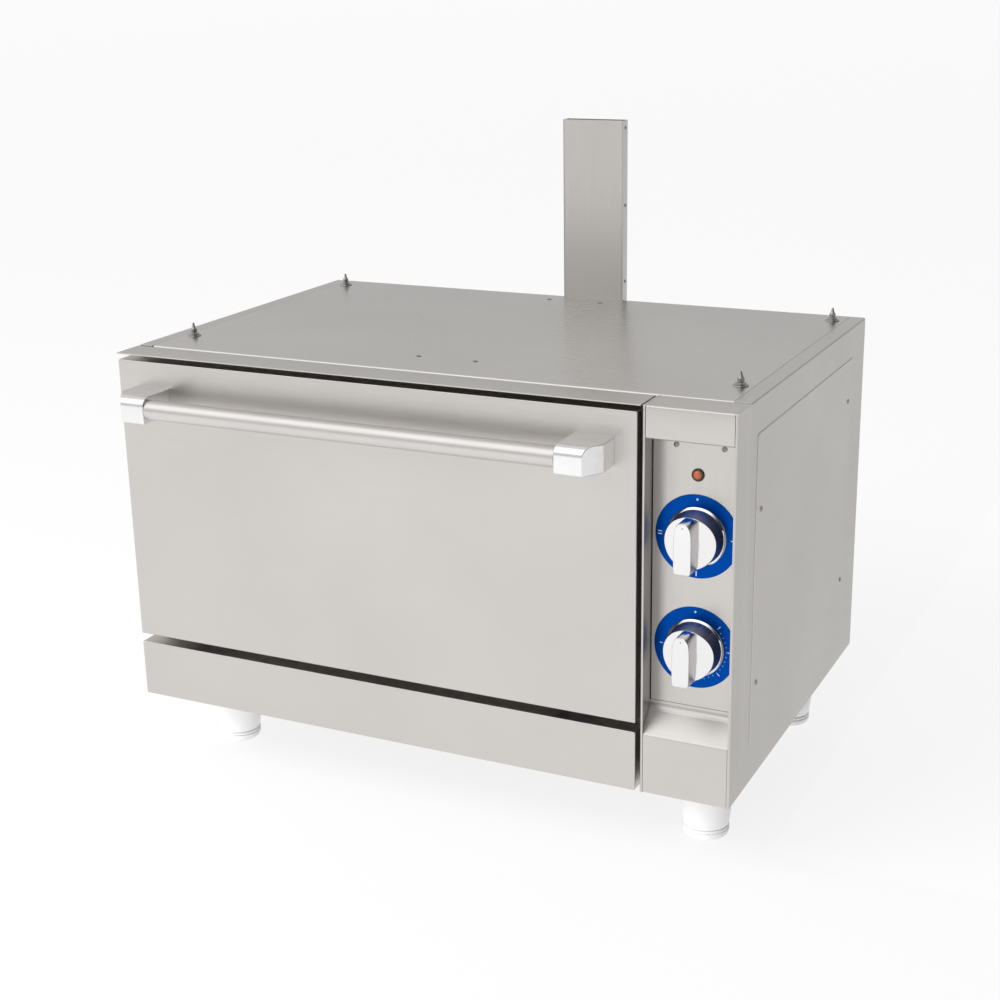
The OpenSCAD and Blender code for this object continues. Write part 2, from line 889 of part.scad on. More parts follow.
module foot_front_left() {
    foot_pad(-(body_w / 2 - foot_x), foot_front);
}

module foot_front_right() {
    foot_pad(body_w / 2 - foot_x, foot_front);
}

module foot_back_left() {
    foot_pad(-(body_w / 2 - foot_x), foot_back_y);
}

module foot_back_right() {
    foot_pad(body_w / 2 - foot_x, foot_back_y);
}

// ---------- top, flue and back ----------

// Pointed pins with a washer, on which a cooking top is located
module locating_pins() {
    color("gray") in_frame() for (x = [-1, 1], y = [pins_front, pins_back_y])
        translate([x * pins_x / 2, y, body_h]) {
            rotate_extrude() polygon([
                [0, 0],
                [locator_r + 5, 0],
                [locator_r + 5, 1.6],
                [locator_r + 2, 2],
                [locator_r + 2, 4],
                [locator_r, 4.4],
                [locator_r, 11],
                [1, locator_h],
                [0, locator_h]
            ]);
            translate([0, 0, -10]) cylinder(r = locator_r - 0.4, h = 10 + eps);
            translate([0, 0, -sheet - 5]) cylinder(r = locator_r + 4, h = 4.8, $fn = 6);
        }
}

// Folded channel: back wall, two side walls and a floor
module flue_duct() {
    half = flue_w / 2;
    inner = half - flue_wall;
    color("silver") in_frame() difference() {
        block([flue_x - half, body_d, flue_low], [flue_x + half, body_d + flue_d, flue_top]);
        block([flue_x - inner, body_d - 1, flue_low + flue_wall],
            [flue_x + inner, body_d + flue_d - flue_wall, flue_top + 1]);
    }
}

// Flat sheet that closes the channel's front, with the hole for the vent pipe
module flue_cover() {
    inner = flue_w / 2 - flue_wall;
    color("silver") in_frame() difference() {
        block([flue_x - inner, body_d, flue_low + flue_wall], [flue_x + inner, body_d + flue_wall, flue_top]);
        rod_y(flue_x, body_d - 1, vent_z, vent_r - 1, flue_wall + 2);
    }
}

module flue_screws() {
    half = flue_w / 2;
    screw_pitch = (flue_h - 35) / 2;
    color("dimgray") in_frame() for (side = [-1, 1], step = [0 : 2])
        rod_x(side > 0 ? flue_x + half : flue_x - half - 1.2,
            body_d + flue_d / 2, flue_top - 10 - step * screw_pitch, 2.2, 1.2);
}

// Low domed screw head lying on a plane, its middle at the origin, facing +Z
module screw_head(r) {
    rotate_extrude() intersection() {
        square([r, 1.4]);
        translate([0, -r * 1.4]) circle(r = r * 1.4 + 1.4);
    }
}

module casing_screws() {
    front_pair = [[cover_front + 16, 120], [cover_front + 16, cover_high - 89]];
    rear_pair = [[cover_rear - 18, 120], [cover_rear - 18, cover_high - 54]];
    color("dimgray") in_frame() {
        for (x = [-38, 38], y = [pins_front, pins_back_y + 4])
            translate([x, y, body_h]) screw_head(screw_r);
        for (side = [-1, 1], place = concat(front_pair, rear_pair))
            translate([side * (face_w + cover_t), place[0], place[1]])
                rotate([0, side * 90, 0]) screw_head(screw_r);
        for (x = [-25, 29])
            translate([knob_x + x, recess_d, body_h - band_h - 11]) rotate([90, 0, 0]) screw_head(screw_r);
        for (x = [-1, 1], z = [30, body_h / 2, body_h - 30])
            translate([x * (face_w - 12), body_d, z]) rotate([-90, 0, 0]) screw_head(screw_r);
    }
}

// Compression gland in the back panel; the supply lead passes through its bore
module cable_gland() {
    color("dimgray") in_frame() difference() {
        union() {
            rod_y(gland_x, body_d - sheet - 10, gland_z, gland_hole_r - 0.3, 12);
            rod_y(gland_x, body_d, gland_z, 16, 5);
            rod_y(gland_x, body_d + 4, gland_z, 13, gland_l - 4);
            translate([gland_x, body_d - sheet, gland_z]) rotate([90, 0, 0]) cylinder(r = 16, h = 5, $fn = 6);
        }
        rod_y(gland_x, body_d - sheet - 12, gland_z, gland_bore_r, 40);
    }
}

module terminal_block() {
    x0 = gland_x - 32;
    y0 = body_d - 130;
    color("ivory") in_frame() difference() {
        union() {
            block([x0, y0, sheet], [x0 + 64, y0 + 30, 9]);
            for (way = [0 : 4])
                block([x0 + 1.5 + way * 12.5, y0 + 3, 8], [x0 + 12 + way * 12.5, y0 + 27, 27]);
        }
        for (way = [0 : 4], y = [9, 21])
            translate([x0 + 6.75 + way * 12.5, y0 + y, 20]) cylinder(r = 2.6, h = 10);
    }
}

base_tray();
side_panel_left();
side_panel_right();
side_cover_left();
side_cover_right();
top_plate();
back_panel();
front_frame();
top_rail();
plinth_panel();
partition();
console_shell();
console_band();
control_panel();
console_ledge();
dial_ring_upper();
dial_ring_lower();
knob_selector();
knob_thermostat();
selector_switch();
selector_shaft();
thermostat();
thermostat_shaft();
thermostat_bulb();
lamp_body();
lamp_lens();
oven_chamber();
chamber_wool();
sole_plate();
top_element();
bottom_element();
shelf_rack_left();
shelf_rack_right();
oven_shelf();
door_gasket();
vent_pipe();
door_outer_panel();
door_inner_panel();
door_wool();
handle_bar();
handle_bracket_left();
handle_bracket_right();
handle_screws();
hinge_bracket_left();
hinge_bracket_right();
hinge_lugs();
hinge_pins();
foot_sleeves();
foot_front_left();
foot_front_right();
foot_back_left();
foot_back_right();
locating_pins();
flue_duct();
flue_cover();
flue_screws();
casing_screws();
cable_gland();
terminal_block();
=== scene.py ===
import math

import bmesh
import bpy
import numpy as np
from mathutils import Matrix, Vector


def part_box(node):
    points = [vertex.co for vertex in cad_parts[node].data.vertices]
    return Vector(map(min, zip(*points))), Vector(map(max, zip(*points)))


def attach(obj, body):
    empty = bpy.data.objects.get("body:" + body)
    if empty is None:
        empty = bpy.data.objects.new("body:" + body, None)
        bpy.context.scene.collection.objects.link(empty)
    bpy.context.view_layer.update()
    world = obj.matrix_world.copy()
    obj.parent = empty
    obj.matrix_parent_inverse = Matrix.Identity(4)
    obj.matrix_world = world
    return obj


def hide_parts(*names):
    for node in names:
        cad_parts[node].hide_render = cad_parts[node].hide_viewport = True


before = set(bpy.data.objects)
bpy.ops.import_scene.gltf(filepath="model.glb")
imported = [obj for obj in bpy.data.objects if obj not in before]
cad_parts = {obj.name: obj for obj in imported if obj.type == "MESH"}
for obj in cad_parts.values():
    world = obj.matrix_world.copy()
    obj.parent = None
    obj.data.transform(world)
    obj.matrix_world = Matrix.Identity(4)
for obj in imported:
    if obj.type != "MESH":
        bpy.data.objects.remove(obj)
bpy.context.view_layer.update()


# ---- Camera ----
# The oven is seen from the front right, from a little above its top plate,
# with a lens long enough to keep the uprights nearly parallel.

lens_mm = 60.68
camera_place = (0.9165, -1.8648, 1.0000)
turn, tilt, lean = (math.radians(angle) for angle in (26.096, 17.664, -1.073))
back = np.array([math.sin(turn) * math.cos(tilt), -math.cos(turn) * math.cos(tilt), math.sin(tilt)])
level = np.array([math.cos(turn), math.sin(turn), 0.0])
upward = np.cross(back, level)
right = level * math.cos(lean) + upward * math.sin(lean)
upward = upward * math.cos(lean) - level * math.sin(lean)

camera = bpy.data.objects.new("camera", bpy.data.cameras.new("camera"))
camera.data.lens = lens_mm
camera.data.clip_end = 200.0
camera.matrix_world = Matrix.Translation(camera_place) @ Matrix(
    np.stack([right, upward, back], axis=1).tolist()).to_4x4()
bpy.context.scene.collection.objects.link(camera)
bpy.context.scene.camera = camera
bpy.context.scene.view_settings.view_transform = "Standard"


# ---- Side panels ----
# Each side is one sheet of 1.5 mm satin stainless with its top edge folded
# inwards over the casing. The sheet's cut edges are broken to a small radius.

FRONT = np.array([[1, 0, 0], [0, 0, 1], [0, -1, 0]], float)
BACK = np.array([[-1, 0, 0], [0, 0, 1], [0, 1, 0]], float)
RIGHT = np.array([[0, 1, 0], [0, 0, 1], [1, 0, 0]], float)
LEFT = np.array([[0, -1, 0], [0, 0, 1], [-1, 0, 0]], float)
TOP = np.eye(3)


def metal(name, colour, rough, grain, spread=0.05, tint=0.05, depth=0.00004, metallic=1.0, coat=0.0):
    """A metal surface. Noise stretched along the grain moves the roughness up and down by spread and
    lifts the skin by depth; a slow noise shades the colour between itself and (1 - tint) of itself."""
    made = bpy.data.materials.new(name)
    made.use_nodes = True
    nodes, links = made.node_tree.nodes, made.node_tree.links
    shader = nodes["Principled BSDF"]
    shader.inputs["Metallic"].default_value = metallic
    shader.inputs["Coat Weight"].default_value = coat
    place = nodes.new("ShaderNodeTexCoord")
    stretch = nodes.new("ShaderNodeMapping")
    stretch.inputs["Scale"].default_value = grain
    links.new(place.outputs["Object"], stretch.inputs["Vector"])
    lines = nodes.new("ShaderNodeTexNoise")
    lines.inputs["Scale"].default_value = 1.0
    lines.inputs["Detail"].default_value = 3.0
    links.new(stretch.outputs["Vector"], lines.inputs["Vector"])
    cloud = nodes.new("ShaderNodeTexNoise")
    cloud.inputs["Scale"].default_value = 5.0
    cloud.inputs["Detail"].default_value = 2.0
    links.new(place.outputs["Object"], cloud.inputs["Vector"])
    gloss = nodes.new("ShaderNodeMapRange")
    gloss.inputs["From Min"].default_value = 0.3
    gloss.inputs["From Max"].default_value = 0.7
    gloss.inputs["To Min"].default_value = rough - spread
    gloss.inputs["To Max"].default_value = rough + spread
    links.new(lines.outputs["Fac"], gloss.inputs["Value"])
    links.new(gloss.outputs["Result"], shader.inputs["Roughness"])
    shade = nodes.new("ShaderNodeValToRGB")
    shade.color_ramp.elements[0].position = 0.3
    shade.color_ramp.elements[1].position = 0.7
    shade.color_ramp.elements[0].color = [c * (1.0 - tint) for c in colour] + [1.0]
    shade.color_ramp.elements[1].color = list(colour) + [1.0]
    links.new(cloud.outputs["Fac"], shade.inputs["Fac"])
    links.new(shade.outputs["Color"], shader.inputs["Base Color"])
    lift = nodes.new("ShaderNodeBump")
    lift.inputs["Strength"].default_value = 0.5
    lift.inputs["Distance"].default_value = depth
    links.new(lines.outputs["Fac"], lift.inputs["Height"])
    links.new(lift.outputs["Normal"], shader.inputs["Normal"])
    return made


def finish_piece(made, finish, body, replaced=(), crease=32.0, bevel=0.0):
    """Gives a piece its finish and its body. Edges under the crease angle are shaded as
    one skin, and a bevel breaks the edges that stay sharp."""
    mesh = made.data
    mesh.polygons.foreach_set("use_smooth", np.ones(len(mesh.polygons), bool))
    mesh.set_sharp_from_angle(angle=math.radians(crease))
    mesh.materials.clear()
    mesh.materials.append(finish)
    bpy.context.scene.collection.objects.link(made)
    if bevel:
        round_off = made.modifiers.new("broken_edges", "BEVEL")
        round_off.width = bevel
        round_off.segments = 2
        round_off.limit_method = "ANGLE"
        round_off.angle_limit = math.radians(40.0)
        round_off.harden_normals = True
    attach(made, body)
    if replaced:
        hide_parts(*replaced)
    return made


def put_piece(name, shapes, finish, body, replaced=(), crease=32.0, bevel=0.0):
    """One piece from a list of shapes, each (points, faces). Doubles are merged and faces turned outwards."""
    start, points, faces = 0, [], []
    for part_points, part_faces in shapes:
        points.append(np.asarray(part_points, float))
        faces += [[start + corner for corner in face] for face in part_faces]
        start += len(part_points)
    mesh = bpy.data.meshes.new(name)
    mesh.from_pydata(np.concatenate(points).tolist(), [], faces)
    clean = bmesh.new()
    clean.from_mesh(mesh)
    bmesh.ops.remove_doubles(clean, verts=clean.verts, dist=1e-6)
    bmesh.ops.recalc_face_normals(clean, faces=clean.faces)
    clean.to_mesh(mesh)
    clean.free()
    return finish_piece(bpy.data.objects.new(name, mesh), finish, body, replaced, crease, bevel)


def refinish(made, finish, chosen):
    """Gives the faces that chosen(normals, centres) picks a second finish."""
    mesh = made.data
    count = len(mesh.polygons)
    normals, centres = np.empty(count * 3), np.empty(count * 3)
    mesh.polygons.foreach_get("normal", normals)
    mesh.polygons.foreach_get("center", centres)
    mesh.materials.append(finish)
    mesh.polygons.foreach_set("material_index", chosen(
        normals.reshape(-1, 3), centres.reshape(-1, 3)).astype(np.int32))


def lay(shape, origin, facing):
    """Moves a shape from its own axes to origin + a*u + b*v + c*w, where u, v, w are facing's rows."""
    points, faces = shape
    return np.asarray(origin, float) + points @ facing, faces


def bent_line(corners, radius, thickness, steps=5):
    """Outline of a bent sheet. Straight runs meet in arcs of the inside radius; the second skin is the
    first one moved by the thickness along its left-hand normal."""
    corners = np.asarray(corners, float)
    way = np.diff(corners, axis=0)
    way /= np.linalg.norm(way, axis=1)[:, None]
    left = np.stack([-way[:, 1], way[:, 0]], axis=1)
    line, normal = [corners[:1]], [left[:1]]
    for bend in range(1, len(corners) - 1):
        before, after, side = way[bend - 1], way[bend], left[bend - 1]
        angle = math.atan2(before[0] * after[1] - before[1] * after[0], before @ after)
        own = radius + (abs(thickness) if angle * thickness > 0 else 0.0)
        sign = math.copysign(1.0, angle)
        centre = corners[bend] - own * math.tan(abs(angle) / 2) * before + sign * own * side
        sweep = np.linspace(0.0, angle, steps + 1)
        turned = np.stack([side[0] * np.cos(sweep) - side[1] * np.sin(sweep),
                           side[0] * np.sin(sweep) + side[1] * np.cos(sweep)], axis=1)
        line.append(centre - sign * own * turned)
        normal.append(turned)
    line = np.concatenate(line + [corners[-1:]])
    normal = np.concatenate(normal + [left[-1:]])
    return np.concatenate([line, (line + thickness * normal)[::-1]])


def prism(outline, low, high):
    """A closed outline (a, b) carried from c = low to c = high, with a face on each end."""
    count = len(outline)
    points = np.concatenate([np.column_stack([outline, np.full(count, c)]) for c in (low, high)])
    here = np.arange(count)
    walls = np.stack([here, np.roll(here, -1), np.roll(here, -1) + count, here + count], axis=1)
    return points, walls.tolist() + [here.tolist()[::-1], (here + count).tolist()]


sheet = 0.0015
fold = 0.0012
flange = 0.020
edge = 0.0004
steel_colour = (0.655, 0.632, 0.606)
ALONG_X, ALONG_Y, ALONG_Z = (14.0, 900.0, 900.0), (900.0, 14.0, 900.0), (900.0, 900.0, 14.0)
steel_y = metal("satin_steel_fore_and_aft", steel_colour, 0.36, ALONG_Y)
YZ_ALONG_X = np.array([[0, 1, 0], [0, 0, 1], [1, 0, 0]], float)
XZ_ALONG_Y = np.array([[1, 0, 0], [0, 0, 1], [0, 1, 0]], float)
for side, node in ((1, "side_panel_right"), (-1, "side_panel_left")):
    # Section seen from the front: up the outer face, then over to the flange's inner edge.
    low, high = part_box(node)
    outer = high.x if side > 0 else low.x
    section = bent_line([(side * outer, low.z), (side * outer, high.z),
                         (side * outer - flange, high.z)], fold, sheet)
    section[:, 0] *= side
    put_piece(node + "_skin", [lay(prism(section, low.y, high.y), (0, 0, 0), XZ_ALONG_Y)],
              steel_y, "oven_body", [node], bevel=edge)


# ---- Side covers ----
# A flat 1 mm cover closes the service opening on each side. Its edges are
# rolled under, which leaves a thin dark line all the way round.

def rounded_rectangle(width, height, radius, steps=6):
    """Points and outward normals of a rectangle about the origin whose corners are quarter circles."""
    quarter = np.linspace(0.0, math.pi / 2, steps + 1)
    angle = np.concatenate([quarter + k * math.pi / 2 for k in range(4)])
    normal = np.stack([np.cos(angle), np.sin(angle)], axis=1)
    corner = np.repeat([(1, 1), (-1, 1), (-1, -1), (1, -1)], steps + 1, axis=0)
    return corner * (width / 2 - radius, height / 2 - radius) + radius * normal, normal


def ring_stack(outline, normal, profile, caps=True):
    """One outline repeated at each (inset, height) of the profile: ring = outline - inset * normal.
    Quads join the rings, and the first and last ring are closed when caps is set."""
    inset, height = np.asarray(profile, float).T
    flat = outline[None] - inset[:, None, None] * normal[None]
    lifted = np.broadcast_to(height[:, None, None], flat.shape[:2] + (1,))
    rings, count = flat.shape[:2]
    start, here = np.meshgrid(np.arange(rings - 1) * count, np.arange(count), indexing="ij")
    after = (here + 1) % count
    quads = np.stack([start + here, start + after, start + count + after, start + count + here], axis=-1)
    ends = [list(range(count))[::-1], list(range((rings - 1) * count, rings * count))] if caps else []
    return np.concatenate([flat, lifted], axis=2).reshape(-1, 3), quads.reshape(-1, 4).tolist() + ends


def quarter(centre, radius, start, stop, steps=4):
    """Points of an arc about (inset, height) centre; angles in degrees, 0 along +inset."""
    angle = np.radians(np.linspace(start, stop, steps + 1))
    return np.stack([centre[0] + radius * np.cos(angle), centre[1] + radius * np.sin(angle)], axis=1).tolist()


def plate(width, height, thickness, corner, rounding):
    """A flat plate on the plane c = 0 with all its front edges rounded."""
    outline, normal = rounded_rectangle(width, height, corner)
    profile = [(rounding, 0.0), (0.0, 0.0)] + quarter(
        (rounding, thickness - rounding), rounding, 180, 90) + [(rounding + 0.0001, thickness)]
    return ring_stack(outline, normal, profile)


def middle(low, high):
    """The middle of a box, as an array."""
    return (np.array(low) + np.array(high)) / 2


for side, node, facing in ((1, "side_cover_right", RIGHT), (-1, "side_cover_left", LEFT)):
    low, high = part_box(node)
    centre = middle(low, high)
    centre[0] = low.x if side > 0 else high.x
    cover = plate(high.y - low.y, high.z - low.z, high.x - low.x, 0.0030, 0.0006)
    put_piece(node + "_sheet", [lay(cover, centre, facing)], steel_y, "oven_body", [node])


# ---- Top plate ----
# The top is a separate sheet let in between the two side flanges. Its front
# edge is rolled over a 3 mm radius and runs down behind the top rail.

steel_x = metal("satin_steel_crosswise", steel_colour, 0.36, ALONG_X)
steel_top = metal("satin_steel_top", steel_colour, 0.29, ALONG_X)
low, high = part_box("top_plate")
roll = 0.0016
section = bent_line([(high.y, high.z), (low.y, high.z), (low.y, low.z)], roll, sheet)
put_piece("top_plate_sheet", [lay(prism(section, low.x, high.x), (0, 0, 0), YZ_ALONG_X)],
          steel_top, "oven_body", ["top_plate"], bevel=edge)


# ---- Top rail ----
# A folded strip over the door. It stands a millimetre below the top plate and
# its front edge is left plain.

low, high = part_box("top_rail")
rail_gap = 0.0006
section = bent_line([(low.y, high.z), (high.y, high.z), (high.y, low.z)], fold, -sheet)
put_piece("top_rail_strip", [lay(prism(section, low.x, high.x - rail_gap), (0, 0, 0), YZ_ALONG_X)],
          steel_x, "oven_body", ["top_rail"], bevel=0.0005)


# ---- Plinth ----
# The panel under the door is a shallow pressed tray: flat face, edges folded
# back all round to the front frame.

def tray(width, height, depth, thickness, radius, corner, notches=(), notch_width=0.0):
    """A pressed tray that opens backwards: the face at c = 0, rounded into walls that run to c = -depth,
    with the inside skin one thickness in. The bottom wall is cut back to its bend at each notch."""
    outline, normal = rounded_rectangle(width, height, corner)
    cut, step = notch_width / 2, 0.00001
    steps = np.array([a + b for a in notches for b in (-cut, step - cut, cut - step, cut)])
    at = 3 * len(outline) // 4
    outline = np.insert(outline, at, np.column_stack([steps, np.full(len(steps), -height / 2)]), axis=0)
    normal = np.insert(normal, at, np.tile([0.0, -1.0], (len(steps), 1)), axis=0)
    profile = [(radius + 0.0001, 0.0)] + quarter((radius, -radius), radius, 90, 180, 5)
    edge_ring = len(profile)
    profile += [(0.0, -depth), (thickness, -depth)]
    profile += quarter((radius, -radius), radius - thickness, 180, 90, 3)
    points, faces = ring_stack(outline, normal, profile)
    for notch in range(len(notches)):
        for ring in (edge_ring, edge_ring + 1):
            start = ring * len(outline) + at + 4 * notch
            points[start + 1:start + 3, 2] = -radius - thickness
    return points, faces


low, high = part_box("plinth_panel")
press = 0.0015
shape = tray(high.x - low.x, high.z - low.z, high.y - low.y, sheet, press, press + 0.0002)
put_piece("plinth_tray", [lay(shape, ((low.x + high.x) / 2, low.y, (low.z + high.z) / 2), FRONT)],
          steel_x, "oven_body", ["plinth_panel"])


# ---- Console ----
# Two folded cheeks stand at the sides of the controls. Between them are the
# hood band over the controls, the recessed panel and the sloping ledge.

steel_z = metal("satin_steel_upright", steel_colour, 0.34, ALONG_Z)
low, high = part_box("console_shell")
cheek_fold = 0.0010
strip_left, strip_right = 0.0034, 0.0031
cheeks = []
for side, wall, strip in ((1, low.x, strip_left), (-1, high.x, strip_right)):
    section = bent_line([(side * (wall + side * strip), low.y), (side * wall, low.y),
                         (side * wall, high.y)], cheek_fold, -sheet)
    section[:, 0] *= side
    cheeks.append(prism(section, low.z, high.z))
floor_line = np.array([(low.x + sheet, low.y + sheet), (high.x - sheet, low.y + sheet),
                       (high.x - sheet, high.y), (low.x + sheet, high.y)])
cheeks.append(prism(floor_line, low.z, low.z + sheet))
# The cheeks' inner walls, which face the recess, take a darker copy of the steel: painted shade in the
# recess.
painted_shade_steel = metal("painted_shade_steel", (0.40, 0.385, 0.375), 0.38, ALONG_Z, 0.08, 0.15)
shell = put_piece("console_cheeks", cheeks, steel_z, "oven_body", ["console_shell"],
                  bevel=0.0003)
console_middle = (low.x + high.x) / 2
# Faces turned towards the middle of the console get the darker steel, as painted shade.
refinish(shell, painted_shade_steel,
         lambda normals, centres: normals[:, 0] * (console_middle - centres[:, 0]) > 0.03)

low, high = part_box("console_band")
inner_left, inner_right = low.x + 0.0038, high.x - 0.0035
band_face = low.y + 0.0002
band_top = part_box("top_rail")[1].z
band_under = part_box("control_panel")[0].y - 0.0003
section = bent_line([(high.y, band_top), (band_face, band_top), (band_face, low.z), (band_under, low.z)],
                    0.0014, sheet)
band = [lay(prism(section, inner_left, inner_right), (0, 0, 0), YZ_ALONG_X)]
end_strip = np.array([(low.y, band_top - sheet), (high.y, band_top - sheet), (high.y, band_top),
                      (low.y, band_top)])
for ends in ((low.x + rail_gap, inner_left), (inner_right, high.x)):
    band.append(lay(prism(end_strip, *ends), (0, 0, 0), YZ_ALONG_X))
put_piece("console_hood", band, steel_x, "oven_body", ["console_band"], bevel=edge)

low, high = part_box("console_ledge")
# The ledge's slope sweeps up into the panel, and a filler carries it on behind the left cheek's strip.
ledge_front = low.z + 0.0702
sweep_r, sweep = 0.0146, np.radians([-48.4, -36.0, -24.0, -12.0, 0.0])
sweep_line = np.column_stack([high.y - sheet - sweep_r + sweep_r * np.cos(sweep),
                              high.z + sweep_r * np.sin(sweep)])
section = bent_line([(low.y, low.z), (low.y, ledge_front)] + sweep_line.tolist(), 0.0015, -sheet)
filler = bent_line([(low.y + 0.0018, ledge_front + 0.0016)] + sweep_line.tolist(), 0.0015, -sheet)
wall_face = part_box("console_shell")[0].x + sheet
put_piece("console_ledge_sheet", [lay(prism(section, inner_left, inner_right), (0, 0, 0), YZ_ALONG_X),
                                  lay(prism(filler, wall_face + 0.0002, inner_left), (0, 0, 0),
                                      YZ_ALONG_X)],
          steel_x, "oven_body", ["console_ledge"])

low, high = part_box("control_panel")
panel = plate(high.x - low.x - 0.0014, high.z - low.z, high.y - low.y, 0.0008, 0.0003)
put_piece("control_plate", [lay(panel, ((low.x + high.x) / 2, high.y, (low.z + high.z) / 2), FRONT)],
          steel_z, "oven_body", ["control_panel"])


# ---- Dial rings ----
# Each dial is a printed ring stuck to the panel: deep blue with white marks.
# The upper one has four switch positions, the lower one a scale of heat.

def circle(radius, steps=96):
    """Points and outward normals of a circle about the origin."""
    angle = np.arange(steps) * 2 * math.pi / steps
    normal = np.stack([np.cos(angle), np.sin(angle)], axis=1)
    return radius * normal, normal


def bar_shape(length, width, lift):
    """A thin printed bar about the origin, with rounded corners."""
    outline, normal = rounded_rectangle(length, width, min(length, width) * 0.3, 3)
    return ring_stack(outline, normal, [(0.0, 0.0), (0.0, lift * 0.6), (lift * 0.4, lift)])


def turned_to(shape, degrees, radius):
    """Moves a shape out along +a to the radius, then turns it clockwise from the top of the dial."""
    points, faces = shape
    angle = math.radians(90.0 - degrees)
    a, b = points[:, 0] + radius, points[:, 1]
    return np.column_stack([a * math.cos(angle) - b * math.sin(angle),
                            a * math.sin(angle) + b * math.cos(angle), points[:, 2]]), faces


ring_blue = metal("dial_blue", (0.001, 0.068, 0.385), 0.32, (60.0, 60.0, 60.0), 0.05, 0.08, 0.00001)
mark_white = metal("dial_white", (0.72, 0.82, 0.98), 0.45, (400.0, 400.0, 400.0), 0.05, 0.05, 0.00001)
ring_inner = 0.0115
mark_lift = 0.00012
mark_radius = 0.0425
bars = {
    "dial_ring_upper": [(0, 0.0, 0.0026, 0.0022), (90, 0.0, 0.0075, 0.0013), (180, 0.0, 0.0060, 0.0013),
                        (270, 0.0016, 0.0050, 0.0013), (270, -0.0016, 0.0050, 0.0013)],
    "dial_ring_lower": [(0, 0.0, 0.0026, 0.0022)],
}
for node in ("dial_ring_upper", "dial_ring_lower"):
    low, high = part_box(node)
    dial_r = (high.x - low.x) / 2
    face = high.y - low.y
    origin = ((low.x + high.x) / 2, high.y, (low.z + high.z) / 2)
    outline, normal = circle(dial_r)
    profile = [(0.0002, 0.0), (0.0, 0.0002), (0.0, face - 0.0003), (0.0003, face), (0.0020, face),
               (dial_r - ring_inner, face), (dial_r - ring_inner, 0.0), (0.0002, 0.0)]
    put_piece(node + "_disc", [lay(ring_stack(outline, normal, profile, caps=False), origin, FRONT)],
              ring_blue, "oven_body", [node])
    marks = []
    for degrees, aside, length, width in bars[node]:
        points, faces = bar_shape(length, width, mark_lift)
        marks.append(turned_to((points + (0.0, aside, 0.0), faces), degrees, mark_radius))
    if node == "dial_ring_lower":
        for step in range(25):
            marks.append(turned_to(bar_shape(0.0012, 0.0006, mark_lift), 45 + step * 9.0, 0.0368))
        for step in range(6):
            marks.append(turned_to(bar_shape(0.0036, 0.0010, mark_lift), 45 + step * 45.0, 0.0395))
    marks = [lay(mark, (origin[0], origin[1] - face, origin[2]), FRONT) for mark in marks]
    put_piece(node + "_marks", marks, mark_white, "oven_body")


# ---- Knobs ----
# A knob is die-cast and chromed: a coned skirt, a round body and a straight grip, round at the pointing end
# and squarer at the other. Its round walls and the grip's flat sides take a darker, rougher copy of the
# chrome: painted shade.

knob_chrome = metal("knob_chrome", (0.86, 0.85, 0.85), 0.09, (350.0, 350.0, 350.0), 0.03, 0.03, 0.000006)
# The next two finishes are darker copies of the chrome, painted shade for the knob's sides.
knob_flank_painted_shade = metal("knob_flank_painted_shade", (0.60, 0.57, 0.57), 0.32, (350.0, 350.0, 350.0), 0.03, 0.02, 0.000004)
knob_wall_painted_shade = metal("knob_wall_painted_shade", (0.40, 0.385, 0.39), 0.34, (350.0, 350.0, 350.0), 0.04, 0.04, 0.000006)
dot_grey = metal("knob_dot", (0.20, 0.19, 0.19), 0.5, (500.0, 500.0, 500.0), 0.05, 0.05, 0.00001, 0.0)


def grip_outline(half_width, half_length, steps=96):
    """Points and outward normals of |a/w|^n + |b/l|^n = 1, with n = 3.4 at the pointing end (b > 0) and
    9 at the other; the normal is that formula's gradient."""
    angle = (np.arange(steps) + 0.5) * 2 * math.pi / steps
    n = np.where(np.sin(angle) > 0, 3.4, 9.0)
    scale = (np.abs(np.cos(angle)) ** n + np.abs(np.sin(angle)) ** n) ** (-1.0 / n)
    a, b = np.cos(angle) * scale, np.sin(angle) * scale
    gradient = np.stack([np.sign(a) * np.abs(a) ** (n - 1) / half_width,
                         np.sign(b) * np.abs(b) ** (n - 1) / half_length], axis=1)
    gradient /= np.linalg.norm(gradient, axis=1)[:, None]
    return np.stack([a * half_width, b * half_length], axis=1), gradient


def turned(profile, steps=96):
    """A solid of revolution about c from a profile of (radius, height), closed on the axis."""
    profile = np.asarray(profile, float)
    widest = profile[:, 0].max()
    outline, normal = circle(widest, steps)
    return ring_stack(outline, normal, np.column_stack([widest - profile[:, 0], profile[:, 1]]), caps=False)


